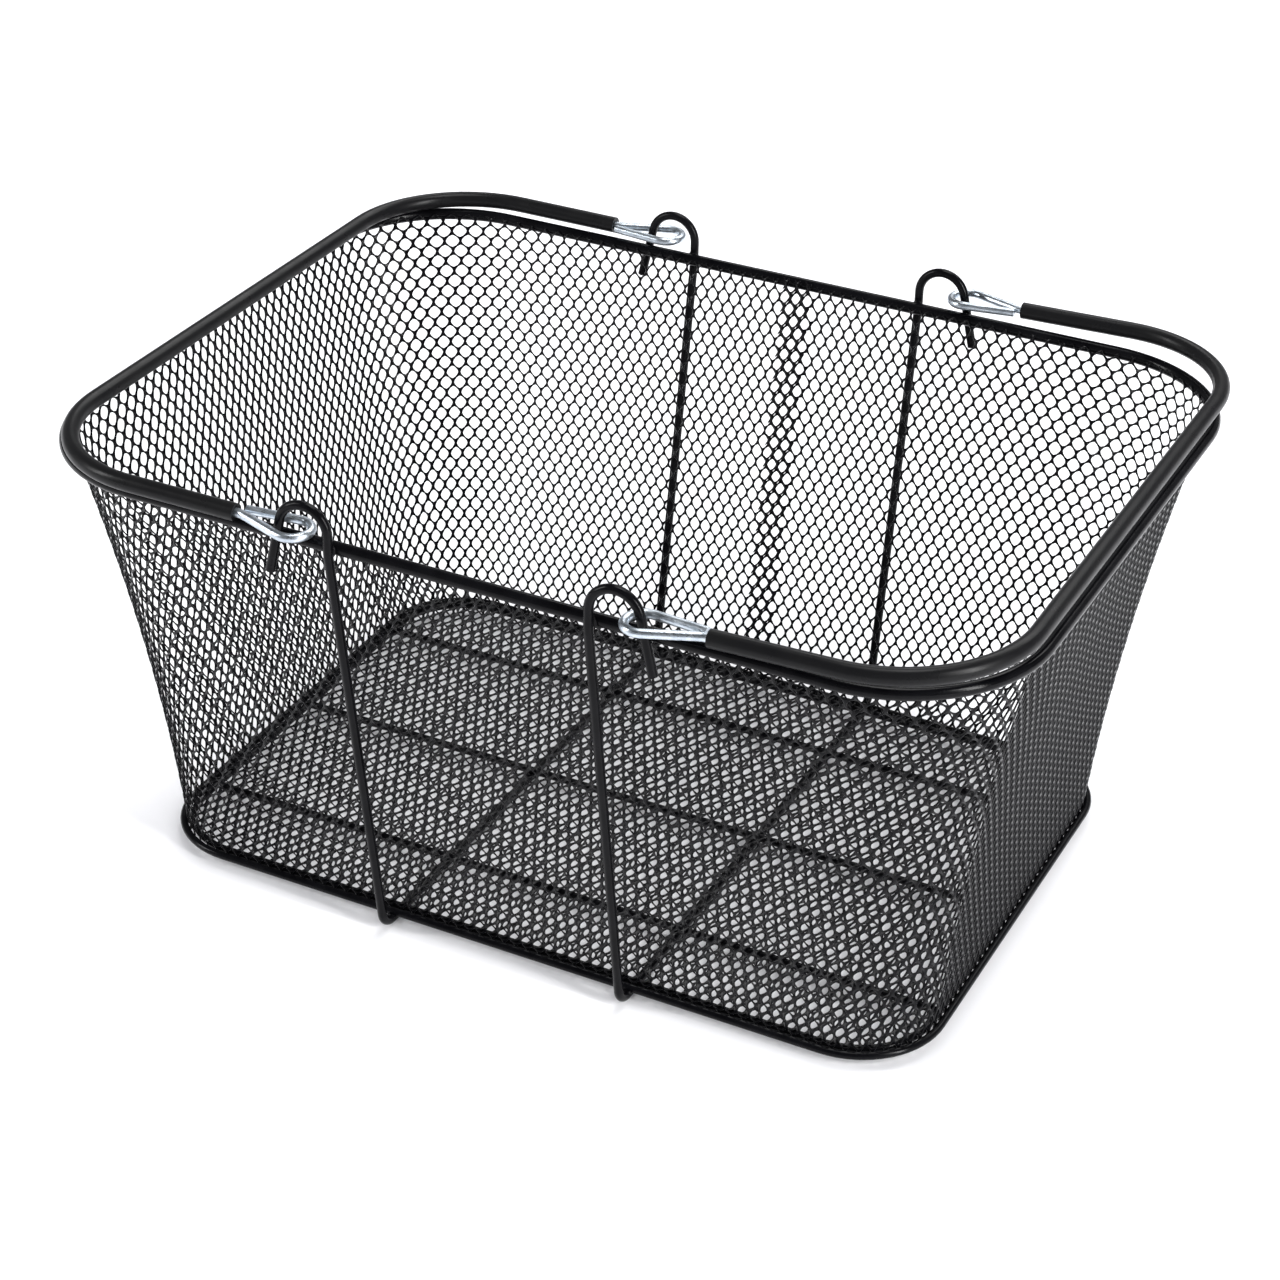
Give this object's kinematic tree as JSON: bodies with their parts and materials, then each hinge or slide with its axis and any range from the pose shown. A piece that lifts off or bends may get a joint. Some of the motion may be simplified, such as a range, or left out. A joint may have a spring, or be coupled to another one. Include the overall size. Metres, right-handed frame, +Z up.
{
  "type": "wire mesh shopping basket with folding handles",
  "caption": "Tapered rectangular hand basket of black expanded metal mesh on a wire frame, with sleeved bail handles that swing on wire hooks.",
  "frame": {"origin": "on the surface that the basket stands on, under the middle of its base", "axes": "+Z up, X along the long side of the basket, Y along its short side, towards the back wall with the mesh seam"},
  "size_m": [0.4354, 0.3458, 0.2216],
  "materials": {
    "black_powder_coat": "semi-gloss black powder coat on steel wire",
    "black_mesh": "semi-gloss black powder coat on expanded steel mesh",
    "zinc_wire": "bright bluish zinc plating with fine drawing lines",
    "vinyl_sleeve": "satin black flexible vinyl"
  },
  "bodies": {
    "basket": {"rim_wire": "black_powder_coat", "base_ring": "black_powder_coat", "inner_ring": "black_powder_coat", "wall_mesh": "black_mesh", "floor_mesh": "black_mesh", "cross_frame_left": "black_powder_coat", "cross_frame_right": "black_powder_coat", "floor_wire_front": "black_powder_coat", "floor_wire_middle": "black_powder_coat", "floor_wire_back": "black_powder_coat"},
    "handle_left": {"handle_wire_left": "zinc_wire", "handle_sleeve_left": "vinyl_sleeve"},
    "handle_right": {"handle_wire_right": "zinc_wire", "handle_sleeve_right": "vinyl_sleeve"}
  },
  "joints": [
    {"name": "handle_left_swing", "type": "hinge", "parent": "basket", "child": "handle_left", "pos_m": [-0.068, 0, 0.2086], "axis": [0, 1, 0], "range_deg": [0, 117]},
    {"name": "handle_right_swing", "type": "hinge", "parent": "basket", "child": "handle_right", "pos_m": [0.068, 0, 0.2086], "axis": [0, -1, 0], "range_deg": [-1.8, 113.7]}
  ]
}
